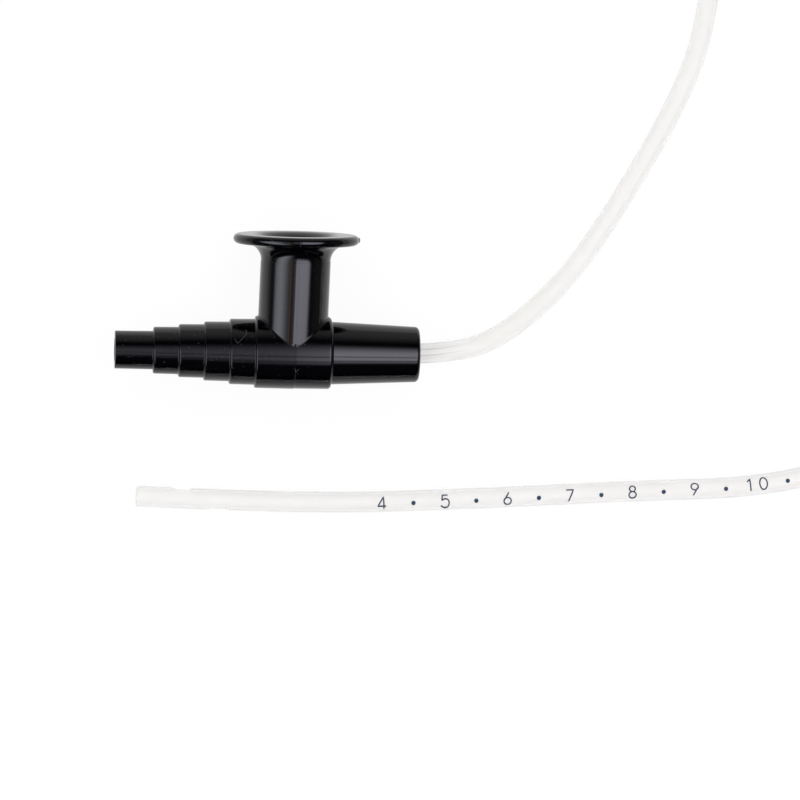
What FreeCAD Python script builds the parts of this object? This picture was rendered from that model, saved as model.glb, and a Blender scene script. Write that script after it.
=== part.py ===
import FreeCAD, Part
import math
import os
import Sketcher

# Suction catheter with a thumb port. The moulded valve lies on its collar and on the rim of its flange. The tube
# leaves the hub, sinks to the surface, is put away in one and a half turns, and comes back along the valve.
# Millimetres, +X from the stepped connector to the hub, +Z up. The origin is on the surface, under the middle of the
# valve's box.

SIZES = [
    ("nose_length", 6.1, "first step of the connector"),
    ("nose_d", 6.1, ""),
    ("step_length", 4.05, "each of the four wider steps"),
    ("first_rise", 1.43, "nose to the second step, in diameter"),
    ("step_rise", 1.0, "from each wider step to the next, in diameter"),
    ("collar_rise", 1.12, "last step to the collar, in diameter"),
    ("collar_length", 12.25, "barrel under the chimney"),
    ("hub_length", 14.05, "tapered grip round the tube"),
    ("hub_drop", 1.55, "collar to the root of the hub, in diameter"),
    ("hub_taper", 1.3, "root of the hub to its end, in diameter"),
    ("edge_round", 0.3, "front edges of the wider steps, and both edges of the collar"),
    ("nose_round", 0.12, "inner and outer edges of the nose's end"),
    ("hub_round", 0.65, "outer edge of the hub's end"),
    ("chimney_back", 6.3, "chimney's axis behind the collar's front edge"),
    ("chimney_base_d", 11.16, "at the barrel's axis"),
    ("chimney_top_d", 11.06, "under the fillet of the flange"),
    ("chimney_height", 18.9, "barrel's axis to the top of the flange"),
    ("flange_d", 20.1, ""),
    ("flange_thickness", 1.4, "its rim is a full half round"),
    ("flange_fillet", 2.7, "chimney into the underside of the flange"),
    ("port_bore_d", 8.5, "thumb port"),
    ("mouth_round", 2.75, "trumpet mouth of the port"),
    ("port_floor", 2.0, "bottom of the port under the barrel's axis"),
    ("connector_bore_d", 3.8, ""),
    ("passage_d", 2.4, "from the port to the tube"),
    ("socket_depth", 8.0, "length of tube held in the hub"),
    ("bond_gap", 0.02, "between the tube and its socket"),
    ("tube_d", 3.3, ""),
    ("lumen_d", 2.2, ""),
    ("tip_round", 0.45, "outer edge of the open tip"),
    ("eye_length", 3.4, "along the tube"),
    ("eye_width", 2.0, "round the tube"),
    ("first_eye", 7.7, "tip to the middle of the eye on the chimney's side"),
    ("second_eye", 13.4, "tip to the middle of the eye on the other side"),
    ("eye_turn", 25.0, "the second eye's turn towards the top, in degrees"),
    ("crossing_gap", 0.7, "under the tube where it crosses itself"),
    ("straight_exit", 4.4, "hub's end to the first corner of the tube's route"),
    ("exit_sag", 0.1, "drop of the tube at that corner"),
    ("lay", 10.0, "unit of the tube's route on the surface, and of its put-away turns"),
]

doc = FreeCAD.newDocument("suction_catheter")
sheet = doc.addObject("Spreadsheet::Sheet", "sizes")
for row, (alias, value, note) in enumerate(SIZES, start=1):
    sheet.set(f"A{row}", alias)
    sheet.set(f"B{row}", str(value))
    sheet.set(f"C{row}", note)
    sheet.setAlias(f"B{row}", alias)
doc.recompute()

# Diameters along the barrel, each from the one before it.
STEPS = [
    "sizes.nose_d",
    "(sizes.nose_d + sizes.first_rise)",
    "(sizes.nose_d + sizes.first_rise + sizes.step_rise)",
    "(sizes.nose_d + sizes.first_rise + 2 * sizes.step_rise)",
    "(sizes.nose_d + sizes.first_rise + 3 * sizes.step_rise)",
]
COLLAR_D = f"({STEPS[-1]} + sizes.collar_rise)"
HUB_ROOT_D = f"({COLLAR_D} - sizes.hub_drop)"
HUB_END_D = f"({HUB_ROOT_D} - sizes.hub_taper)"

# Places along the barrel, from the middle of its length, and the chimney's own heights above the barrel's axis.
FRONT = "-(sizes.nose_length + 4 * sizes.step_length + sizes.collar_length + sizes.hub_length) / 2"
BACK = "(sizes.nose_length + 4 * sizes.step_length + sizes.collar_length + sizes.hub_length) / 2"
COLLAR_BACK = f"({BACK} - sizes.hub_length)"
COLLAR_FRONT = f"({COLLAR_BACK} - sizes.collar_length)"
CHIMNEY = f"({COLLAR_FRONT} + sizes.chimney_back)"
SHOULDER = f"({BACK} - sizes.socket_depth)"
FLANGE_UNDER = "(sizes.chimney_height - sizes.flange_thickness)"
RIM_MIDDLE = "(sizes.chimney_height - sizes.flange_thickness / 2)"
RIM_R = "((sizes.flange_d - sizes.flange_thickness) / 2)"

# The valve lies on two things: the collar, and the lowest point of the flange's rim. That leaves the chimney this
# many degrees above level.
LIE = (
    f"atan({RIM_R} / {RIM_MIDDLE})"
    f" - asin(({COLLAR_D} - sizes.flange_thickness) / 2 / hypot({RIM_R}; {RIM_MIDDLE}))"
)


def number(expression):
    """The value of an expression on the sheet, in millimetres or degrees."""
    found = doc.Objects[0].evalExpression(expression)
    return float(getattr(found, "Value", found))


def origin_part(body, role):
    """The plane or axis of a body's own origin that has this role."""
    return next(part for part in body.Origin.OriginFeatures if part.Role == role)


def hold(sketch, kind, geometry, position, expression):
    """Binds one coordinate of a sketched point to the sheet."""
    made = sketch.addConstraint(Sketcher.Constraint(kind, -1, 1, geometry, position, number(expression)))
    sketch.setExpression(f"Constraints[{made}]", expression)


def arc_between(start, end, centre, turn):
    """A circular arc from start to end round the centre, counter-clockwise where turn is 1."""
    first, last = (start, end) if turn == 1 else (end, start)
    angles = [math.atan2(point.y - centre.y, point.x - centre.x) for point in (first, last)]
    if angles[1] < angles[0]:
        angles[1] += 2 * math.pi
    circle = Part.Circle(centre, FreeCAD.Vector(0, 0, 1), start.distanceToPoint(centre))
    return Part.ArcOfCircle(circle, angles[0], angles[1])


def profile(body, name, corners):
    """A closed sketch on the body's XZ plane. A corner is (across, up), and an arc's far end has the arc's centre,
    its sense and the coordinate of the centre that is held as well, because the two ends fix the other one."""
    sketch = body.newObject("Sketcher::SketchObject", name)
    sketch.AttachmentSupport = [(origin_part(body, "XZ_Plane"), "")]
    sketch.MapMode = "FlatFace"
    points = [FreeCAD.Vector(number(corner[0]), number(corner[1]), 0) for corner in corners]
    senses = [corner[3] if len(corner) > 2 else 1 for corner in corners]
    for index, corner in enumerate(corners):
        start, end = points[index - 1], points[index]
        if len(corner) > 2:
            centre = FreeCAD.Vector(number(corner[2][0]), number(corner[2][1]), 0)
            sketch.addGeometry(arc_between(start, end, centre, corner[3]))
        else:
            sketch.addGeometry(Part.LineSegment(start, end))
    for index, corner in enumerate(corners):
        following = (index + 1) % len(corners)
        far_end = 2 if senses[index] == 1 else 1
        near_end = 1 if senses[following] == 1 else 2
        sketch.addConstraint(Sketcher.Constraint("Coincident", index, far_end, following, near_end))
        hold(sketch, "DistanceX", index, far_end, corner[0])
        hold(sketch, "DistanceY", index, far_end, corner[1])
        if len(corner) > 2:
            held = corner[4]
            hold(sketch, "Distance" + held, index, 3, corner[2]["XY".index(held)])
    return sketch


def turned(body, kind, name, corners, across=None):
    """A profile revolved about the barrel's axis, or about the upright line at the place that across gives."""
    sketch = profile(body, name + "_profile", corners)
    feature = body.newObject(kind, name)
    feature.Profile = sketch
    if across is None:
        feature.ReferenceAxis = (sketch, ["H_Axis"])
    else:
        foot, shown_length = FreeCAD.Vector(number(across), 0, 0), 5
        top = foot + FreeCAD.Vector(0, shown_length, 0)
        middle = sketch.addGeometry(Part.LineSegment(foot, top), True)
        sketch.addConstraint(Sketcher.Constraint("Vertical", middle))
        sketch.addConstraint(Sketcher.Constraint("DistanceY", middle, 1, middle, 2, shown_length))
        hold(sketch, "DistanceY", middle, 1, "0 mm")
        hold(sketch, "DistanceX", middle, 1, across)
        feature.ReferenceAxis = (sketch, ["Axis0"])
    feature.Angle = 360
    sketch.Visibility = False
    doc.recompute()
    return feature


def ring_names(shape, rings):
    """The edges of a shape that are whole circles with one of these (place along X, radius) pairs."""
    found = []
    for index, edge in enumerate(shape.Edges, start=1):
        curve = edge.Curve
        if not isinstance(curve, Part.Circle):
            continue
        if any(abs(curve.Center.x - place) < 1e-4 and abs(curve.Radius - radius) < 1e-4 for place, radius in rings):
            found.append(f"Edge{index}")
    return found


def rounded(body, name, base, rings, radius):
    """A fillet of the given rings, (place, radius) expressions, bound to the sheet."""
    feature = body.newObject("PartDesign::Fillet", name)
    feature.Base = (base, ring_names(base.Shape, [(number(place), number(across)) for place, across in rings]))
    feature.Radius = number(radius)
    feature.setExpression("Radius", radius)
    doc.recompute()
    return feature


def control_valve():
    """The moulded valve: stepped connector, collar, tapered hub, and a chimney with a flange for the thumb."""
    body = doc.addObject("PartDesign::Body", "control_valve")

    corners = [(FRONT, "0 mm")]
    place = FRONT
    for count, step_d in enumerate(STEPS):
        corners.append((place, f"{step_d} / 2"))
        place = f"{FRONT} + sizes.nose_length + {count} * sizes.step_length"
        corners.append((place, f"{step_d} / 2"))
    rings = corners[3::2]
    corners += [(COLLAR_FRONT, f"{COLLAR_D} / 2"), (COLLAR_BACK, f"{COLLAR_D} / 2"),
                (COLLAR_BACK, f"{HUB_ROOT_D} / 2"), (BACK, f"{HUB_END_D} / 2"), (BACK, "0 mm")]
    rings += [(COLLAR_FRONT, f"{COLLAR_D} / 2"), (COLLAR_BACK, f"{COLLAR_D} / 2")]
    barrel = turned(body, "PartDesign::Revolution", "barrel", corners)
    edges = rounded(body, "step_edges", barrel, rings, "sizes.edge_round")
    rounded(body, "hub_edge", edges, [(BACK, f"{HUB_END_D} / 2")], "sizes.hub_round")

    wall_top = f"({FLANGE_UNDER} - sizes.flange_fillet)"
    fillet_r = f"({CHIMNEY} + sizes.chimney_top_d / 2 + sizes.flange_fillet)"
    rim = f"({CHIMNEY} + {RIM_R})"
    turned(body, "PartDesign::Revolution", "chimney", [
        (CHIMNEY, "0 mm"),
        (f"{CHIMNEY} + sizes.chimney_base_d / 2", "0 mm"),
        (f"{CHIMNEY} + sizes.chimney_top_d / 2", wall_top),
        (fillet_r, FLANGE_UNDER, (fillet_r, wall_top), -1, "X"),
        (rim, FLANGE_UNDER),
        (rim, "sizes.chimney_height", (rim, RIM_MIDDLE), 1, "X"),
        (CHIMNEY, "sizes.chimney_height"),
    ], CHIMNEY)

    socket_r = "(sizes.tube_d / 2 + sizes.bond_gap)"
    lumen = turned(body, "PartDesign::Groove", "lumen", [
        (FRONT, "0 mm"),
        (FRONT, "sizes.connector_bore_d / 2"),
        (CHIMNEY, "sizes.connector_bore_d / 2"),
        (CHIMNEY, "sizes.passage_d / 2"),
        (SHOULDER, "sizes.passage_d / 2"),
        (SHOULDER, socket_r),
        (BACK, socket_r),
        (BACK, "0 mm"),
    ])

    nose_rings = [(FRONT, "sizes.nose_d / 2"), (FRONT, "sizes.connector_bore_d / 2")]
    rounded(body, "nose_end", lumen, nose_rings, "sizes.nose_round")

    bore = f"{CHIMNEY} + sizes.port_bore_d / 2"
    mouth = f"({bore} + sizes.mouth_round)"
    flare = "(sizes.chimney_height - sizes.mouth_round)"
    turned(body, "PartDesign::Groove", "thumb_port", [
        (CHIMNEY, "-sizes.port_floor"),
        (bore, "-sizes.port_floor"),
        (bore, flare),
        (mouth, "sizes.chimney_height", (mouth, flare), -1, "X"),
        (CHIMNEY, "sizes.chimney_height"),
    ], CHIMNEY)

    body.setExpression("Placement.Base.y", AXIS_Y)
    body.setExpression("Placement.Base.z", f"{COLLAR_D} / 2")
    body.Placement.Rotation.Axis = FreeCAD.Vector(1, 0, 0)
    body.setExpression("Placement.Rotation.Angle", f"{LIE} - 90 deg")
    return body


# The barrel's axis lies this far across, so that the box of the lying valve is centred on the origin.
FAR_SIDE = f"({RIM_MIDDLE} * cos({LIE}) + {RIM_R} * sin({LIE}) + sizes.flange_thickness / 2)"
AXIS_Y = f"({COLLAR_D} / 2 - {FAR_SIDE}) / 2"

# Rise of the tube where it crosses itself.
HUMP = "(sizes.tube_d + sizes.crossing_gap)"


def tube_route():
    """The points that the tube runs past, from the shoulder in the hub to the tip. The first two follow the valve,
    the put-away turns are worked out, and the others are chosen by hand, as (across, along, rise) in the unit lay,
    with the rise above a tube that lies on the surface."""
    across, level = number(AXIS_Y), number(f"{COLLAR_D} / 2")
    in_line = [
        (number(SHOULDER), across, level),
        (number(f"{BACK} + sizes.straight_exit"), across, level - number("sizes.exit_sag")),
    ]
    leaving = [
        (3.75, -0.42, 0.135), (4.65, 0.36, 0), (5.41, 1.34, 0), (6.54, 3.26, 0), (7.05, 4.46, 0), (7.24, 5.61, 0),
        (7.27, 6.8, 0),
    ]
    rise = number(HUMP) / number("sizes.lay")
    crossing = [(11.34, 7.14, rise), (11.32, 5.84, rise), (11.34, 4.07, 0), (11.3, 1.72, 0), (11.08, -0.43, 0)]
    coming_back = [
        (10.48, -1.63, 0), (9.43, -2.42, 0), (7.89, -2.77, 0), (5.96, -2.85, 0), (3.14, -3.03, 0), (0.5, -3.14, 0),
        (-2.05, -3.05, 0),
    ]
    points = [FreeCAD.Vector(*point) for point in in_line]
    return points + on_surface(leaving) + put_away() + on_surface(crossing + coming_back)


def on_surface(places):
    """Points of a tube that lies on the surface, or rises above it, from places in the unit lay."""
    middle_height = FreeCAD.Vector(0, 0, number("sizes.tube_d / 2"))
    return [FreeCAD.Vector(*place) * number("sizes.lay") + middle_height for place in places]


def put_away():
    """One and a half turns, clockwise from above. The second turn lies inside the first, and its last corner starts
    the rise that takes the tube over the first."""
    middle = on_surface([(9.45, 7.65, 0)])[0]
    corners_a_turn, corner_count = 12, 18
    narrows_after, narrow_by = 5, 11
    share_of_hump = 0.4
    outer, inner = 2.2 * number("sizes.lay"), 1.8 * number("sizes.lay")
    corners = []
    for corner in range(corner_count):
        share = min(max((corner - narrows_after) / (narrow_by - narrows_after), 0), 1)
        reach = (outer + (inner - outer) * share) / math.cos(math.pi / corners_a_turn)
        angle = math.pi - 2 * math.pi * (corner + 0.5) / corners_a_turn
        lift = share_of_hump * number(HUMP) if corner == corner_count - 1 else 0
        corners.append(middle + FreeCAD.Vector(reach * math.cos(angle), reach * math.sin(angle), lift))
    return corners


def smooth_path(points):
    """Straight runs joined by tangent arcs, each as large as its two runs allow."""
    edges = []
    reached = points[0]
    for before, corner, after in zip(points, points[1:], points[2:]):
        way_in, way_out = (corner - before).normalize(), (after - corner).normalize()
        turn = way_in.getAngle(way_out)
        tangent = 0.45 * min(before.distanceToPoint(corner), corner.distanceToPoint(after))
        radius = tangent / math.tan(turn / 2)
        start, end = corner - way_in * tangent, corner + way_out * tangent
        inward = (way_out - way_in).normalize()
        middle = corner + inward * (radius / math.cos(turn / 2) - radius)
        edges.append(Part.LineSegment(reached, start).toShape())
        edges.append(Part.Arc(start, middle, end).toShape())
        reached = end
        print(f"arc at ({corner.x:.1f}, {corner.y:.1f}, {corner.z:.1f}): radius {radius:.1f} mm")
    edges.append(Part.LineSegment(reached, points[-1]).toShape())
    return Part.Wire(edges)


def swept(name, route, edge_count, diameter, start):
    """A round bar of this diameter along the tube's route."""
    ring = doc.addObject("Part::Circle", name + "_section")
    ring.setExpression("Radius", f"{diameter} / 2")
    ring.Placement = start
    bar = doc.addObject("Part::Sweep", name)
    bar.Sections = [ring]
    bar.Spine = (route, [f"Edge{index}" for index in range(1, edge_count + 1)])
    bar.Solid = True
    bar.Frenet = False
    return bar


def eye_punch(name, along, turn):
    """The slot-shaped punch of one eye, through the wall on one side of the tip."""
    ends = []
    for end in (-1, 1):
        pin = doc.addObject("Part::Cylinder", f"{name}_end_{'front' if end < 0 else 'back'}")
        pin.setExpression("Radius", "sizes.eye_width / 2")
        pin.setExpression("Height", "sizes.tube_d")
        pin.setExpression("Placement.Base.x", f"{end} * (sizes.eye_length - sizes.eye_width) / 2")
        ends.append(pin)
    web = doc.addObject("Part::Box", f"{name}_web")
    web.setExpression("Length", "sizes.eye_length - sizes.eye_width")
    web.setExpression("Width", "sizes.eye_width")
    web.setExpression("Height", "sizes.tube_d")
    web.setExpression("Placement.Base.x", "-(sizes.eye_length - sizes.eye_width) / 2")
    web.setExpression("Placement.Base.y", "-sizes.eye_width / 2")
    punch = doc.addObject("Part::MultiFuse", name)
    punch.Shapes = ends + [web]
    tip, before = ROUTE[-1], ROUTE[-2]
    back = (before - tip).normalize()
    heading = FreeCAD.Rotation(FreeCAD.Vector(1, 0, 0), back)
    lean = FreeCAD.Rotation(FreeCAD.Vector(1, 0, 0), turn)
    punch.Placement = FreeCAD.Placement(tip + back * number(along), heading * lean)
    return punch


def catheter_tube():
    """The extruded tube: one solid with its lumen, a rounded open tip and two punched eyes."""
    route = doc.addObject("Part::Feature", "tube_route")
    route.Shape = smooth_path(ROUTE)
    start = FreeCAD.Placement(ROUTE[0], FreeCAD.Rotation(FreeCAD.Vector(0, 0, 1), ROUTE[1] - ROUTE[0]))
    edge_count = len(route.Shape.Edges)
    outer = swept("tube_outside", route, edge_count, "sizes.tube_d", start)
    lumen = swept("tube_lumen", route, edge_count, "sizes.lumen_d", start)
    hollow = doc.addObject("Part::Cut", "hollow_tube")
    hollow.Base, hollow.Tool = outer, lumen
    doc.recompute()

    tip = ROUTE[-1]
    rim = [index for index, edge in enumerate(hollow.Shape.Edges, start=1)
           if edge.BoundBox.Center.distanceToPoint(tip) < 0.01
           and abs(edge.Length - math.pi * number("sizes.tube_d")) < 0.01]
    rounded_tip = doc.addObject("Part::Fillet", "rounded_tip")
    rounded_tip.Base = hollow
    rounded_tip.Edges = [(index, number("sizes.tip_round"), number("sizes.tip_round")) for index in rim]

    eyes = doc.addObject("Part::MultiFuse", "eye_punches")
    eyes.Shapes = [eye_punch("first_eye_punch", "sizes.first_eye", 90),
                   eye_punch("second_eye_punch", "sizes.second_eye", number("sizes.eye_turn") - 90)]
    tube = doc.addObject("Part::Cut", "catheter_tube")
    tube.Base, tube.Tool = rounded_tip, eyes
    return tube


ROUTE = tube_route()
PIECES = [control_valve(), catheter_tube()]
doc.recompute()

for made in doc.Objects:
    if {"Invalid", "Error"} & set(made.State):
        raise RuntimeError(f"{made.Name} failed: {made.State}")
for piece in PIECES:
    piece.Label = piece.Name
    if piece.Shape.isNull() or not piece.Shape.isValid():
        raise RuntimeError(f"{piece.Label} has no valid shape")

path_length = doc.getObject("tube_route").Shape.Length
section = math.pi * (number("sizes.tube_d") ** 2 - number("sizes.lumen_d") ** 2) / 4
print(f"tube {path_length:.1f} mm long, section times length {section * path_length:.1f} mm3,")
print(f"volume {doc.getObject('hollow_tube').Shape.Volume:.1f} mm3 before the tip and the eyes")

os.makedirs("parts", exist_ok=True)
for piece in PIECES:
    piece.Shape.exportStep(f"parts/{piece.Label}.step")
    print(piece.Label, piece.Shape.optimalBoundingBox(False), f"volume {piece.Shape.Volume:.1f} mm3")
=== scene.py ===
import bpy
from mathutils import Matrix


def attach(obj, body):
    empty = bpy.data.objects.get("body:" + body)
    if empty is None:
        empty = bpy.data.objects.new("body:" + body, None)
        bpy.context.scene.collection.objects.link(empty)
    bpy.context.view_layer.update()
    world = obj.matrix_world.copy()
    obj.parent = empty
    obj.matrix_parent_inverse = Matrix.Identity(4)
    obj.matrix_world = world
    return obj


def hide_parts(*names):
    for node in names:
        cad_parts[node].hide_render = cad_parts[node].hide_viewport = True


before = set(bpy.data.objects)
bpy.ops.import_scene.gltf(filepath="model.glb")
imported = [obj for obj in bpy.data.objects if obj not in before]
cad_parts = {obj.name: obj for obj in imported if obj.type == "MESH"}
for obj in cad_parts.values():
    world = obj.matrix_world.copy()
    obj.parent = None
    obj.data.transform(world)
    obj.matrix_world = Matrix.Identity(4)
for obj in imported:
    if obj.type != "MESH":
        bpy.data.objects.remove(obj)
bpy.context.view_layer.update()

import math

import bpy
from mathutils import Matrix, Vector

# Camera: it hangs 0.9 m over the catheter and leans a little towards the nose and towards the tube's tip, which is
# how the picture was taken. The picture is square, and all sizes here are millimetres until they are scaled.
MM = 0.001
camera_aim = Vector((21.865, -13.966, 0)) * MM
camera_distance = 900
lean_to_nose, lean_to_tip, camera_roll = math.radians(4.913), math.radians(7.438), math.radians(0.281)
backwards = Vector((-math.tan(lean_to_nose), -math.tan(lean_to_tip), 1)).normalized()
level = Vector((0, 1, 0)).cross(backwards).normalized()
upright = backwards.cross(level)
rightwards = math.cos(camera_roll) * level + math.sin(camera_roll) * upright
upwards = math.cos(camera_roll) * upright - math.sin(camera_roll) * level
camera = bpy.data.objects.new("camera", bpy.data.cameras.new("camera"))
bpy.context.scene.collection.objects.link(camera)
turned = Matrix((rightwards, upwards, backwards)).transposed().to_4x4()
camera.matrix_world = Matrix.Translation(camera_aim + camera_distance * MM * backwards) @ turned
camera.data.sensor_width = 36
camera.data.lens = 251.76
camera.data.clip_start = 0.01
bpy.context.scene.camera = camera


# Tube: soft clear tubing, extruded, 3.3 mm across with a 2.2 mm lumen. It is bonded 8 mm deep in the valve's hub,
# sinks to the surface, is put away in one and a half turns and comes back along the valve to its open tip.
tube_radius, tube_wall = 1.65, 0.55
barrel_across, barrel_height = -7.342, 5.825
leaving = [
    (16.3, barrel_across, barrel_height), (28.7, barrel_across, 5.725), (37.5, -4.2, 3.0), (46.5, 3.6, 1.65),
    (54.1, 13.4, 1.65), (65.4, 32.6, 1.65), (70.5, 44.6, 1.65), (72.4, 56.1, 1.65), (72.7, 68.0, 1.65),
]
put_away = []
for corner in range(18):
    reach = (22 - 4 * min(max((corner - 5) / 6, 0), 1)) / math.cos(math.radians(15))
    angle = math.radians(180 - 30 * (corner + 0.5))
    lift = 1.6 if corner == 17 else 0
    put_away.append((94.5 + reach * math.cos(angle), 76.5 + reach * math.sin(angle), 1.65 + lift))
crossing = [(113.4, 71.4, 5.65), (113.2, 58.4, 5.65), (113.4, 40.7, 1.65), (113.0, 17.2, 1.65), (110.8, -4.3, 1.65)]
coming_back = [
    (104.8, -16.1, 1.65), (94.3, -24.0, 1.65), (78.9, -27.5, 1.65), (59.6, -28.3, 1.65), (31.4, -30.1, 1.65),
    (5.0, -31.2, 1.65), (-20.5, -30.3, 1.65),
]
tube_route = [Vector(place) * MM for place in leaving + put_away + crossing + coming_back]

tube_line = bpy.data.curves.new("tube_line", "CURVE")
tube_line.dimensions = "3D"
tube_line.resolution_u = 16
spline = tube_line.splines.new("NURBS")
spline.points.add(len(tube_route) - 1)
for point, place in zip(spline.points, tube_route):
    point.co = (*place, 1)
spline.order_u = 3
spline.use_endpoint_u = True
line_object = bpy.data.objects.new("tube_line", tube_line)
bpy.context.scene.collection.objects.link(line_object)
tube_path = [vertex.co.copy() for vertex in bpy.data.meshes.new_from_object(line_object).vertices]


def choose(piece):
    """Makes this piece the only one that is selected, and the active one."""
    bpy.ops.object.select_all(action="DESELECT")
    piece.select_set(True)
    bpy.context.view_layer.objects.active = piece


def pick(piece, kind, wanted):
    """Goes into edit mode with only those vertices, edges or faces selected for which wanted is true."""
    choose(piece)
    bpy.ops.object.mode_set(mode="EDIT")
    bpy.ops.mesh.select_mode(type=kind)
    bpy.ops.mesh.select_all(action="DESELECT")
    bpy.ops.object.mode_set(mode="OBJECT")
    parts = {"VERT": piece.data.vertices, "EDGE": piece.data.edges, "FACE": piece.data.polygons}[kind]
    for part in parts:
        part.select = wanted(part)
    bpy.ops.object.mode_set(mode="EDIT")


def apply_modifier(piece, kind, **settings):
    """Adds one modifier with these settings and applies it."""
    choose(piece)
    modifier = piece.modifiers.new(kind.lower(), kind)
    for name, value in settings.items():
        setattr(modifier, name, value)
    bpy.ops.object.modifier_apply(modifier=modifier.name)


tube_line.bevel_depth = tube_radius * MM
tube_line.bevel_resolution = 6
tube = bpy.data.objects.new("tube", bpy.data.meshes.new_from_object(line_object))
bpy.context.scene.collection.objects.link(tube)
bpy.data.objects.remove(line_object)
pick(tube, "VERT", lambda vertex: True)
bpy.ops.mesh.remove_doubles(threshold=0.001 * MM)
bpy.ops.mesh.normals_make_consistent(inside=False)
bpy.ops.object.mode_set(mode="OBJECT")
apply_modifier(tube, "SOLIDIFY", thickness=tube_wall * MM, offset=-1, use_even_offset=True)

tip = tube_route[-1]
tip_rounding = 0.45
from_tip = (tube_route[-2] - tip).normalized()


def tip_edge(edge):
    """Whether an edge is on the tip's end face, at the tube's outside."""
    ends = [tube.data.vertices[index].co - tip for index in edge.vertices]
    return all(abs(end.dot(from_tip)) < 0.05 * MM and end.length > (tube_radius - 0.1) * MM for end in ends)


pick(tube, "EDGE", tip_edge)
bpy.ops.mesh.bevel(offset=tip_rounding * MM, segments=5, profile=0.5, affect="EDGES")
bpy.ops.object.mode_set(mode="OBJECT")

# Each eye is a slot. It has a distance from the tip, and a turn round the tube from its top in degrees.
eye_length, eye_width = 3.4, 2.0
eyes = ((7.35, -90), (13.4, 84))
for distance, turn in eyes:
    outwards = Matrix.Rotation(math.radians(turn), 3, from_tip) @ Vector((0, 0, 1))
    middle = tip + from_tip * distance * MM + outwards * tube_radius * MM
    bpy.ops.mesh.primitive_cylinder_add(vertices=40, radius=eye_width / 2 * MM, depth=2 * tube_radius * MM)
    punch = bpy.context.object
    pick(punch, "VERT", lambda vertex: vertex.co.x > 0.01 * MM)
    bpy.ops.transform.translate(value=((eye_length - eye_width) / 2 * MM, 0, 0))
    bpy.ops.object.mode_set(mode="OBJECT")
    pick(punch, "VERT", lambda vertex: vertex.co.x < -0.01 * MM)
    bpy.ops.transform.translate(value=(-(eye_length - eye_width) / 2 * MM, 0, 0))
    bpy.ops.object.mode_set(mode="OBJECT")
    heading = Matrix((from_tip, outwards.cross(from_tip), outwards)).transposed().to_4x4()
    punch.matrix_world = Matrix.Translation(middle) @ heading
    apply_modifier(tube, "BOOLEAN", operation="DIFFERENCE", object=punch, solver="EXACT")
    bpy.data.objects.remove(punch)
choose(tube)
bpy.ops.object.shade_smooth_by_angle(angle=math.radians(40))


class Wire:
    """The output of a node. Sums on it add Math nodes, and add() makes any other node in the same material."""

    def __init__(self, tree, socket=None):
        self.tree, self.socket = tree, socket

    def add(self, kind, settings=None, inputs=None, output=0):
        node = self.tree.nodes.new("ShaderNode" + kind)
        for name, value in (settings or {}).items():
            setattr(node, name, value)
        for name, value in (inputs or {}).items():
            if isinstance(value, Wire):
                self.tree.links.new(value.socket, node.inputs[name])
            else:
                node.inputs[name].default_value = value
        return Wire(self.tree, node.outputs[output])

    def reckon(self, operation, *values):
        return self.add("Math", {"operation": operation}, dict(enumerate(values)))

    def __add__(self, other):
        return self.reckon("ADD", self, other)

    def __sub__(self, other):
        return self.reckon("SUBTRACT", self, other)

    def __rsub__(self, other):
        return self.reckon("SUBTRACT", other, self)

    def __mul__(self, other):
        return self.reckon("MULTIPLY", self, other)

    def __truediv__(self, other):
        return self.reckon("DIVIDE", self, other)

    __radd__ = __add__
    __rmul__ = __mul__

    def between(self, low, high):
        """Rises smoothly from 0 to 1 as this value goes from low to high."""
        steps = {"interpolation_type": "SMOOTHSTEP"}
        return self.add("MapRange", steps, {"Value": self, "From Min": low, "From Max": high})

    def colour(self, at_zero, at_one):
        """A mix of two colours by this value."""
        return self.add("Mix", {"data_type": "RGBA"}, {0: self, 6: at_zero, 7: at_one}, 2)


def finish_of(name, **constants):
    """A new material: its start for add(), and its shader with these plain values set on its sockets."""
    material = bpy.data.materials.new(name)
    material.use_nodes = True
    shader = material.node_tree.nodes["Principled BSDF"]
    for socket, value in constants.items():
        shader.inputs[socket.replace("_", " ")].default_value = value
    return material, Wire(material.node_tree), shader


def feed(shader, **wires):
    """Links wires to the shader's sockets."""
    for socket, wire in wires.items():
        wire.tree.links.new(wire.socket, shader.inputs[socket.replace("_", " ")])


clear_tube, start, shader = finish_of("clear_tube", IOR=1.4, Transmission_Weight=0.5, Alpha=0.36,
                                      Specular_IOR_Level=0.15)
place = start.add("TexCoord", output="Object")
in_mm = start.add("Mapping", {}, {"Vector": place, "Scale": (1000, 1000, 1000)})
cloud = start.add("TexNoise", {}, {"Vector": in_mm, "Scale": 0.35, "Detail": 3})
grain = start.add("TexNoise", {}, {"Vector": in_mm, "Scale": 6, "Detail": 4})
x, y = (start.add("SeparateXYZ", {}, {0: in_mm}, axis) for axis in "XY")
# Painted shade: near the hub, grey lines in the base colour stand in for the dark edges of the tube and of its lumen.
# They run along the tube where its line is close to a parabola.
bend_start, bend = 22.5, 0.014
off_centre = y - (barrel_across + bend * (x - bend_start) * (x - bend_start))
painted_edge_shade = sum(strength * (1 - off_centre.reckon("ABSOLUTE", off_centre - line).between(0, 0.22))
              for line, strength in ((1.5, 0.4), (0.56, 1), (-0.4, 0.9), (-1.45, 0.4)))
painted_edge_shade = painted_edge_shade * (1 - x.between(25, 34)) * (1 - off_centre.reckon("ABSOLUTE", off_centre).between(1.7, 2))
milky = cloud.between(0.2, 0.8).colour((0.9, 0.885, 0.835, 1), (0.92, 0.905, 0.855, 1))
# The base colour is darkened along these painted shade lines.
feed(shader, Base_Color=(0.6 * painted_edge_shade).colour(milky, (0.25, 0.25, 0.32, 1)))
feed(shader, Roughness=0.36 + 0.08 * grain)
feed(shader, Normal=start.add("Bump", {}, {"Strength": 0.03, "Distance": 0.00002, "Height": grain}))
tube.data.materials.append(clear_tube)


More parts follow.
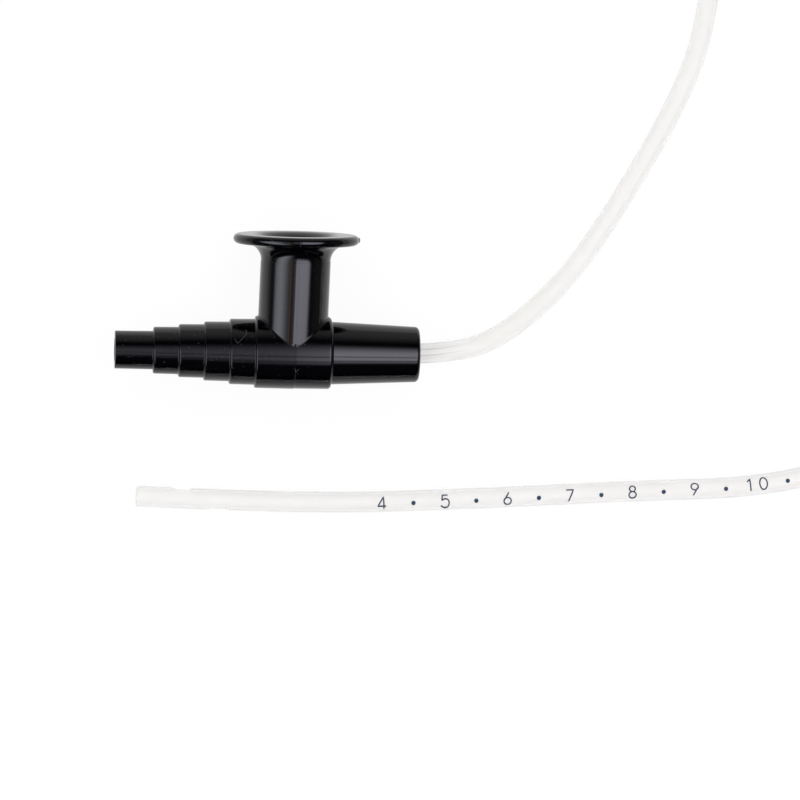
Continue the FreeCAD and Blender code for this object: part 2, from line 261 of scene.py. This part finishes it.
# Marks: a centimetre scale printed on the tube in dark ink, with a dot at each half, counted from the tip. The digits
# are single thin strokes. Here they are flat ribbons that are pressed on to the top of the tube. The scale runs a
# little off the tube's top and drifts towards it by a hair a mark, for a few marks after the seventh.
digit_width, digit_height, digit_pitch = 1.45, 1.88, 2.2
stroke_width, dot_radius, ink_thickness = 0.22, 0.35, 0.01
digits_aside, dots_aside = -0.37, -0.55
first_mark, last_mark, zero_mark, mark_pitch = 4, 20, -1.12, 10.1
drift, drift_start, drift_marks = 0.1, 7, 3


def ring(x, y, wide, high):
    """The corners that a round stroke goes past, as shares of a digit's width and height."""
    past = 1.08
    turns = [math.radians(45 * part + 22.5) for part in range(8)]
    return [(x + wide * math.cos(turn) * past, y + high * math.sin(turn) * past) for turn in turns]


DIGITS = {
    "0": [("ring", ring(0.5, 0.5, 0.42, 0.5))],
    "1": [("straight", [(0.2, 0.78), (0.55, 1), (0.55, 0)])],
    "2": [("round", [(0.12, 0.7), (0.14, 1), (0.5, 1.06), (0.92, 0.98), (0.86, 0.6), (0.1, 0)]),
          ("straight", [(0.1, 0), (0.9, 0)])],
    "3": [("round", [(0.14, 0.88), (0.3, 1.05), (0.85, 1.03), (0.88, 0.6), (0.4, 0.54)]),
          ("round", [(0.4, 0.54), (0.95, 0.54), (0.98, 0), (0.35, -0.07), (0.08, 0.14)])],
    "4": [("straight", [(0.95, 0.22), (0.05, 0.22), (0.68, 1), (0.72, -0.02)])],
    "5": [("straight", [(0.84, 0.98), (0.24, 0.98), (0.16, 0.52)]),
          ("round", [(0.16, 0.52), (0.45, 0.72), (0.98, 0.56), (0.95, 0.02), (0.4, -0.08), (0.06, 0.12)])],
    "6": [("straight", [(0.66, 1), (0.2, 0.4)]), ("ring", ring(0.5, 0.28, 0.4, 0.28))],
    "7": [("straight", [(0.1, 0.96), (0.9, 0.96), (0.32, 0)])],
    "8": [("ring", ring(0.5, 0.76, 0.32, 0.24)), ("ring", ring(0.5, 0.26, 0.4, 0.26))],
    "9": [("straight", [(0.34, 0), (0.8, 0.6)]), ("ring", ring(0.5, 0.72, 0.4, 0.28))],
}


def on_tube(distance):
    """The point of the tube's line this far from the tip, in millimetres, and the way away from the tip there."""
    left = distance * MM
    for before, after in zip(tube_path[::-1], tube_path[-2::-1]):
        step = after - before
        if left <= step.length:
            return before + step * (left / step.length), step.normalized()
        left -= step.length
    raise ValueError("the scale is longer than the tube")


pen = bpy.data.curves.new("pen", "CURVE")
pen.dimensions = "3D"
pen.twist_mode = "Z_UP"
pen.resolution_u = 5
pen.extrude = stroke_width / 2 * MM

bpy.ops.mesh.primitive_circle_add(vertices=24, radius=dot_radius * MM, fill_type="TRIFAN")
dot = bpy.context.object
pick(dot, "FACE", lambda face: True)
bpy.ops.mesh.subdivide(number_cuts=1)
bpy.ops.object.mode_set(mode="OBJECT")
dots = []
for number in range(first_mark, last_mark + 1):
    above = Vector((0, 0, 3 * tube_radius * MM))
    nearer = drift * min(max(number - drift_start, 0), drift_marks)
    aside = digits_aside + nearer
    for place, digit in enumerate(str(number)):
        shift = (place - (len(str(number)) - 1) / 2) * digit_pitch
        middle, away = on_tube(mark_pitch * number + zero_mark + shift)
        up = Vector((0, 0, 1)).cross(away).normalized()
        for kind, corners in DIGITS[digit]:
            if kind == "straight":
                stops = [Vector(corner) for corner in corners]
                corners = [a.lerp(b, part / 8) for a, b in zip(stops, stops[1:]) for part in range(8)] + stops[-1:]
            drawn = pen.splines.new("POLY" if kind == "straight" else "NURBS")
            drawn.points.add(len(corners) - 1)
            for point, (x, y) in zip(drawn.points, corners):
                across = (x - 0.5) * digit_width * MM
                point.co = (*(middle + above + away * across + up * ((y - 0.5) * digit_height + aside) * MM), 1)
                point.tilt = math.radians(90)
            if kind != "straight":
                drawn.order_u = 3
                drawn.use_cyclic_u = kind == "ring"
                drawn.use_endpoint_u = kind == "round"
    copy = bpy.data.objects.new("dot", dot.data.copy())
    bpy.context.scene.collection.objects.link(copy)
    middle, away = on_tube(mark_pitch * (number + 0.5) + zero_mark)
    copy.location = middle + above + Vector((0, 0, 1)).cross(away).normalized() * (dots_aside + nearer) * MM
    dots.append(copy)
pen_object = bpy.data.objects.new("pen", pen)
bpy.context.scene.collection.objects.link(pen_object)
choose(pen_object)
bpy.ops.object.convert(target="MESH")
marks = bpy.context.object
marks.name = "centimetre_marks"
bpy.data.objects.remove(dot)
for copy in dots:
    copy.select_set(True)
bpy.ops.object.join()
pick(marks, "FACE", lambda face: True)
bpy.ops.mesh.remove_doubles(threshold=0.002 * MM)
bpy.ops.mesh.normals_make_consistent(inside=False)
bpy.ops.object.mode_set(mode="OBJECT")
pick(marks, "FACE", lambda face: face.normal.z < 0)
bpy.ops.mesh.flip_normals()
bpy.ops.object.mode_set(mode="OBJECT")
# A corner that falls on an edge of the tube's mesh can be missed, so those that are still up are pressed again.
press = {"target": tube, "wrap_method": "PROJECT", "use_project_z": True, "use_negative_direction": True,
         "use_positive_direction": False, "offset": 0.02 * MM}
apply_modifier(marks, "SHRINKWRAP", **press)
pick(marks, "VERT", lambda vertex: min((vertex.co - point).length for point in tube_path) > 2 * tube_radius * MM)
bpy.ops.transform.translate(value=(0.003 * MM, 0.003 * MM, 0))
bpy.ops.object.mode_set(mode="OBJECT")
apply_modifier(marks, "SHRINKWRAP", **press)
apply_modifier(marks, "SOLIDIFY", thickness=ink_thickness * MM, offset=1)

ink, start, shader = finish_of("ink", Specular_IOR_Level=0.25)
place = start.add("TexCoord", output="Object")
wear = start.add("TexNoise", {}, {"Vector": place, "Scale": 2500, "Detail": 3})
feed(shader, Base_Color=wear.between(0.35, 0.7).colour((0.006, 0.02, 0.05, 1), (0.02, 0.045, 0.09, 1)))
feed(shader, Roughness=0.45 + 0.2 * wear)
marks.data.materials.append(ink)
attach(marks, "root")
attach(tube, "root")
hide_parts("catheter_tube")


# Valve, the barrel: one glossy black moulding with five steps for suction tubing, a collar and a tapered hub. It is
# moulded in two halves that part at the chimney's middle, so each half tapers away from there, and their sizes differ
# by a hair at the parting line.
chimney_place, barrel_sides = 4.3, 160
nose_end, hub_end, nose_radius = -24.3, 24.3, 3.07
outline = [
    (-18.2, nose_radius), (-18.2, 3.735), (-14.15, 3.785), (-14.15, 4.235), (-10.1, 4.285), (-10.1, 4.715),
    (-6.05, 4.765), (-6.05, 5.225), (-2.0, 5.275), (-2.0, 5.77), (chimney_place - 0.03, 5.825),
    (chimney_place + 0.03, 5.775), (10.25, 5.755), (10.25, 5.02), (hub_end, 4.4),
]


def along(axis, distance):
    """The point this far along an axis through the origin, in millimetres."""
    return Vector((distance if axis == "X" else 0, 0, distance if axis == "Z" else 0)) * MM


def draw_out(piece, axis, place, radius, stations):
    """Draws the round end face at this place on through stations, each a place and a radius, as on a lathe."""
    way = along(axis, 1).normalized()
    pick(piece, "FACE", lambda face: abs(face.normal.dot(way)) > 0.99
         and (face.center - along(axis, place)).length < 0.01 * MM)
    for next_place, next_radius in stations:
        bpy.ops.mesh.extrude_region_move(TRANSFORM_OT_translate={"value": along(axis, next_place - place)})
        grow = next_radius / radius
        bpy.ops.transform.resize(value=(1 if axis == "X" else grow, grow, 1 if axis == "Z" else grow),
                                 center_override=along(axis, next_place))
        place, radius = next_place, next_radius
    bpy.ops.object.mode_set(mode="OBJECT")


def round_bar(name, axis, start, end, radius):
    """A plain round bar along an axis through the origin, to be shaped."""
    bpy.ops.mesh.primitive_cylinder_add(
        vertices=barrel_sides, radius=radius * MM, depth=(end - start) * MM, location=along(axis, (start + end) / 2),
        rotation=(0, math.radians(90) if axis == "X" else 0, 0))
    bar = bpy.context.object
    bar.name = name
    bpy.ops.object.transform_apply(location=True, rotation=True, scale=True)
    return bar


def round_rings(piece, rings, size, segments):
    """Rounds the ring edges at these places and radii along the X axis."""
    def is_ring(edge):
        ends = [piece.data.vertices[index].co / MM for index in edge.vertices]
        return any(all(abs(end.x - place) < 0.005 and abs(math.hypot(end.y, end.z) - radius) < 0.005 for end in ends)
                   for place, radius in rings)
    pick(piece, "EDGE", is_ring)
    bpy.ops.mesh.bevel(offset=size * MM, segments=segments, profile=0.5, affect="EDGES")
    bpy.ops.object.mode_set(mode="OBJECT")


valve = round_bar("valve", "X", nose_end, outline[0][0], nose_radius)
draft = 3.03 / nose_radius
pick(valve, "FACE", lambda face: face.normal.x < -0.99)
bpy.ops.transform.resize(value=(1, draft, draft), center_override=along("X", nose_end))
bpy.ops.object.mode_set(mode="OBJECT")
draw_out(valve, "X", *outline[0], outline[1:])
shoulders = [pair for pair in zip(outline, outline[1:]) if pair[0][0] == pair[1][0]]
round_rings(valve, [max(pair) for pair in shoulders[:-1]], 0.3, 5)
round_rings(valve, [max(shoulders[-1])], 0.55, 7)
round_rings(valve, [min(pair) for pair in shoulders], 0.17, 4)
round_rings(valve, [outline[-1]], 0.65, 8)
round_rings(valve, [(nose_end, 3.03)], 0.12, 3)



# Valve, the chimney: a round pipe that flares into a flange with a full round rim, with a trumpet mouth that a thumb
# closes. Its halves part in the same plane, and the one on the nose's side stands a hair proud.
def arc(across, up, radius, first, last, parts):
    """Stations on an arc in degrees, each a height and a radius, for drawing out along Z."""
    turns = [math.radians(first + (last - first) * part / parts) for part in range(1, parts + 1)]
    return [(up + radius * math.sin(turn), across + radius * math.cos(turn)) for turn in turns]


chimney_radius, chimney_top_radius, flare_start = 5.58, 5.53, 14.64
half_step, foot_shift, nib = 1.006, 0.33, 0.2
chimney = round_bar("chimney", "Z", 0, flare_start, chimney_radius)
flare = arc(8.23, flare_start, 2.7, 180, 90, 12)
rim = [(17.34, 9.25)] + arc(9.25, 18.12, 0.78, -90, 90, 14)
mouth = [(18.9, 7.12), (18.93, 7.06)] + arc(7.0, 16.15, 2.75, 90, 180, 16) + [(6.5, 4.25)]
draw_out(chimney, "Z", flare_start, chimney_radius, [(flare_start, chimney_top_radius)] + flare + rim + mouth)
pick(chimney, "VERT", lambda vertex: vertex.co.z < 15 * MM and vertex.co.xy.length > 5 * MM and vertex.co.x < 0)
bpy.ops.transform.resize(value=(half_step, half_step, 1), center_override=(0, 0, 0))
bpy.ops.object.mode_set(mode="OBJECT")
pick(chimney, "VERT", lambda vertex: vertex.co.z < 1 * MM)
bpy.ops.transform.translate(value=along("X", -foot_shift))
bpy.ops.object.mode_set(mode="OBJECT")
pick(chimney, "VERT", lambda vertex: vertex.co.x > 9.95 * MM and abs(vertex.co.y) < 0.3 * MM)
bpy.ops.transform.translate(value=along("X", nib))
bpy.ops.object.mode_set(mode="OBJECT")
chimney.location.x = chimney_place * MM
apply_modifier(valve, "BOOLEAN", operation="UNION", object=chimney, solver="EXACT")
bpy.data.objects.remove(chimney)


def in_the_corner(edge):
    """Whether an edge lies in the corner between the collar and the chimney."""
    for index in edge.vertices:
        x, y, z = valve.data.vertices[index].co / MM
        from_barrel = abs(math.hypot(y, z) - 5.8)
        from_chimney = abs(math.hypot(x - chimney_place + foot_shift * (1 - z / 14.8), y) - chimney_radius)
        if z < 0.5 or from_barrel > 0.06 or from_chimney > 0.08:
            return False
    return True


pick(valve, "EDGE", in_the_corner)
bpy.ops.mesh.bevel(offset=0.2 * MM, segments=4, profile=0.5, affect="EDGES")
bpy.ops.object.mode_set(mode="OBJECT")


# Valve, the air way: the connector's bore, a narrower passage and the tube's socket run along the barrel, and the
# thumb port's bore goes down past the barrel's middle. The two cores that leave them are drawn out as bars.
bore_radius, passage_radius, socket_radius, socket_start = 1.9, 1.2, 1.67, 16.3
port_core = round_bar("port_core", "Z", -2, 6.6, 4.24)
port_core.location.x = chimney_place * MM
long_core = round_bar("long_core", "X", -24.18, chimney_place, bore_radius)
draw_out(long_core, "X", -24.18, bore_radius, [(-24.35, 2.07), (-25, 2.07)])
draw_out(long_core, "X", chimney_place, bore_radius, [
    (chimney_place, passage_radius), (socket_start, passage_radius), (socket_start, socket_radius),
    (25, socket_radius)])
for core in (port_core, long_core):
    apply_modifier(valve, "BOOLEAN", operation="DIFFERENCE", object=core, solver="EXACT")
    bpy.data.objects.remove(core)
pick(valve, "VERT", lambda vertex: True)
bpy.ops.mesh.remove_doubles(threshold=0.001 * MM)
bpy.ops.object.mode_set(mode="OBJECT")
lie = math.radians(12.6857 - 90)
valve.matrix_world = Matrix.Translation(Vector((0, barrel_across, barrel_height)) * MM) @ Matrix.Rotation(lie, 4, "X")
choose(valve)
bpy.ops.object.transform_apply(location=True, rotation=True, scale=True)
bpy.ops.object.shade_smooth_by_angle(angle=math.radians(32))
apply_modifier(valve, "WEIGHTED_NORMAL", keep_sharp=True, weight=90)

black_moulding, start, shader = finish_of("black_moulding", IOR=1.5)
place = start.add("TexCoord", output="Object")
in_mm = start.add("Mapping", {}, {"Vector": place, "Scale": (1000, 1000, 1000)})
flow = start.add("TexNoise", {}, {"Vector": in_mm, "Scale": 0.5, "Detail": 2})
grain = start.add("TexNoise", {}, {"Vector": in_mm, "Scale": 9, "Detail": 4})
smear = start.add("TexNoise", {}, {"Vector": in_mm, "Scale": 1.3, "Detail": 5, "Roughness": 0.7}).between(0.55, 0.75)
from_above = start.add("VectorMath", {"operation": "MULTIPLY"}, {0: in_mm, 1: (1, 1, 0)})
from_nose, height = (start.add("SeparateXYZ", {}, {0: in_mm}, axis) for axis in "XZ")


def scratch(from_place, to_place):
    """A mask of a fine scratch between two places on the top of the valve, each an x and a y in millimetres."""
    run = Vector(to_place) - Vector(from_place)
    offset = start.add("VectorMath", {"operation": "SUBTRACT"}, {0: from_above, 1: (*from_place, 0)})
    covered = start.add("VectorMath", {"operation": "DOT_PRODUCT"}, {0: offset, 1: (*run, 0)}, "Value")
    share = start.add("Clamp", {}, {"Value": covered / run.length_squared})
    nearest = start.add("VectorMath", {"operation": "SCALE"}, {0: (*run, 0), "Scale": share})
    gap = start.add("VectorMath", {"operation": "DISTANCE"}, {0: offset, 1: nearest}, "Value")
    return 1 - gap.between(0.02, 0.09)


def specks(scale, size, share):
    """A mask of round specks of dust: cells per millimetre, size in cells, and the share of cells that hold one."""
    cells = {"Vector": in_mm, "Scale": scale}
    tone = start.add("SeparateColor", {}, {0: start.add("TexVoronoi", {}, cells, "Color")})
    spot = 1 - start.add("TexVoronoi", {}, cells, "Distance").between(size / 2, size)
    return spot * tone.between(1 - share, 1.01 - share)


tick = [(-5.48, -6.03), (-4.95, -6.76), (-3.54, -5.15), (-3.6, -4.43)]
nick = [(4.14, -10.65), (4.36, -11.08), (4.78, -10.71)]
scratches = 0 * height
for line in (tick, nick):
    for from_place, to_place in zip(line, line[1:]):
        scratches = scratches.reckon("MAXIMUM", scratches, scratch(from_place, to_place))
scratches = scratches * height.between(5.8, 6) * (0.25 + 0.75 * smear)
dust = (specks(1.1, 0.08, 0.35) + specks(2.3, 0.13, 0.2)) * (1 - 0.85 * from_nose.between(5, 9))
pale = scratches.reckon("MINIMUM", 0.35 * scratches + 0.35 * dust, 1)
black = grain.between(0.4, 0.7).colour((0.0002, 0.0002, 0.0008, 1), (0.0005, 0.0005, 0.0014, 1))
feed(shader, Base_Color=pale.colour(black, (0.3, 0.31, 0.33, 1)))
feed(shader, Roughness=0.09 + 0.03 * flow + 0.03 * grain + 0.1 * smear + 0.3 * pale)
feed(shader, Normal=start.add("Bump", {}, {"Strength": 0.1, "Distance": 0.00001, "Height": grain}))
valve.data.materials.clear()
valve.data.materials.append(black_moulding)
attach(valve, "root")
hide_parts("control_valve")


# Floor: a plain white table. What the camera and the clear tube see of it is mostly plain white, and the rest of it
# still takes the shadow. In the gloss it is a painted reflection: white on the +Y side and beside the valve, dimmer
# far along X, and fading to black towards -Y, so that the valve's lower side stays dark.
bpy.ops.mesh.primitive_plane_add(size=8, location=(0, 0, 0))
floor = bpy.context.object
floor.name = "floor"
floor_white = bpy.data.materials.new("floor_white")
floor_white.use_nodes = True
tree = floor_white.node_tree
start = Wire(tree)
camera_ray, gloss_ray, clear_depth = (start.add("LightPath", output=ray) for ray in (
    "Is Camera Ray", "Is Glossy Ray", "Transmission Depth"))
place = start.add("TexCoord", output="Object")
x, y = (1000 * start.add("SeparateXYZ", {}, {0: place}, side) for side in "XY")
aside = x.reckon("ABSOLUTE", x - chimney_place)
# Painted reflection: the share of white that the gloss sees, fading to black towards -Y and dimmer far along X.
painted_gloss_white = y.between(-44, -14) * (1 - 0.55 * aside.between(25, 90)) * 0.85
straight = camera_ray.reckon("MAXIMUM", camera_ray, clear_depth.between(0, 1))
seen = straight + (1 - straight) * gloss_ray * painted_gloss_white
paper = start.add("BsdfDiffuse", {}, {"Color": (0.9, 0.9, 0.9, 1)})
glow = start.add("Emission", {}, {"Color": (1, 1, 1, 1), "Strength": 1})
# In the gloss the rest of the floor is black, which is part of the painted reflection.
dark = start.add("MixShader", {}, {0: gloss_ray, 1: paper, 2: start.add("Emission", {}, {"Strength": 0})})
mixed = start.add("MixShader", {}, {0: seen * 0.94, 1: dark, 2: glow})
tree.links.new(mixed.socket, tree.nodes["Material Output"].inputs["Surface"])
floor.data.materials.append(floor_white)


# Light: two large soft boxes over the table, with a gap between them for the camera and a warm strip in the gap. Each
# fades towards its sides. A fill lamp, which the gloss does not see, brings the table to a plain level, and the room
# is dark in the gloss but for its back and its two sides.
def soft_box(name, x_angles, y_angles, brightness, tint, lines=(), least=0, height=0.6):
    """A level panel. Its angles are degrees from straight up, seen from the valve: its low side, where its light
    starts to rise, where it is full, where it starts to fall, and its high side. Least is the light beside the rise,
    and each line is a dark gap across the panel, an angle and a half width in metres."""
    x_ends, y_ends = ([height * math.tan(math.radians(angle)) for angle in angles] for angles in (x_angles, y_angles))
    sides = (x_ends[-1] - x_ends[0], y_ends[-1] - y_ends[0])
    bpy.ops.mesh.primitive_plane_add(size=1, location=(x_ends[0] + sides[0] / 2, y_ends[0] + sides[1] / 2, height))
    box = bpy.context.object
    box.name = name
    box.scale = (*sides, 1)
    cloth = bpy.data.materials.new(name)
    cloth.use_nodes = True
    start = Wire(cloth.node_tree)
    place = start.add("TexCoord", output="Object")
    x, y = ((start.add("SeparateXYZ", {}, {0: place}, axis) + 0.5) * side + ends[0]
            for axis, side, ends in zip("XY", sides, (x_ends, y_ends)))
    shine = (least + (1 - least) * x.between(x_ends[1], x_ends[2])) * (1 - x.between(x_ends[3], x_ends[4]))
    shine = shine * y.between(y_ends[1], y_ends[2]) * (1 - y.between(y_ends[3], y_ends[4]))
    for angle, width in lines:
        away = y.reckon("ABSOLUTE", y - height * math.tan(math.radians(angle)))
        shine = shine * (0.2 + 0.8 * away.between(0, width))
    glow = start.add("Emission", {}, {"Color": (*tint, 1), "Strength": brightness * shine})
    start.tree.links.new(glow.socket, start.tree.nodes["Material Output"].inputs["Surface"])
    box.data.materials.append(cloth)
    box.visible_camera = False


depth, left_depth = (-51, -51, -28, -14, 24), (-74, -74, -60, -14, 24)
soft_box("right_box", (-10, 2, 11, 38, 52), depth, 3.6, (0.98, 0.965, 1.1), ((-22.3, 0.04), (-37.8, 0.06)), least=0.2)
soft_box("left_box", (-76, -76, -50, -50, -4), left_depth, 3.1, (0.95, 0.99, 1.09), least=0.2)
soft_box("warm_strip", (-18, -18, -17.4, -15.6, -15), depth, 2.2, (1, 0.5, 0.22), height=0.58)


fill = bpy.data.objects.new("fill", bpy.data.lights.new("fill", "AREA"))
bpy.context.scene.collection.objects.link(fill)
fill.location = (0, 0, 1.6)
fill_side, fill_brightness = 3, 0.7
fill.data.size, fill.data.energy = fill_side, fill_brightness * math.pi * fill_side * fill_side
fill.visible_camera = fill.visible_glossy = False

world = bpy.data.worlds.new("room")
world.use_nodes = True
start = Wire(world.node_tree)
camera_ray, clear_depth = (start.add("LightPath", output=ray) for ray in ("Is Camera Ray", "Transmission Depth"))
diffuse_ray = start.add("LightPath", output="Is Diffuse Ray")
heading = start.add("TexCoord", output="Generated")
x, y = (start.add("SeparateXYZ", {}, {0: heading}, side) for side in "XY")
room = 1.2 * diffuse_ray + 0.02 + 0.1 * x.reckon("ABSOLUTE", x).between(0.7, 1) + 0.42 * y.between(0.5, 1)
white = camera_ray.reckon("MAXIMUM", camera_ray, clear_depth.between(0, 1))
backdrop = white + (1 - white) * room
world.node_tree.links.new(backdrop.socket, world.node_tree.nodes["Background"].inputs["Strength"])
world.node_tree.nodes["Background"].inputs["Color"].default_value = (1, 1, 1, 1)
bpy.context.scene.world = world
bpy.context.scene.view_settings.view_transform = "Standard"
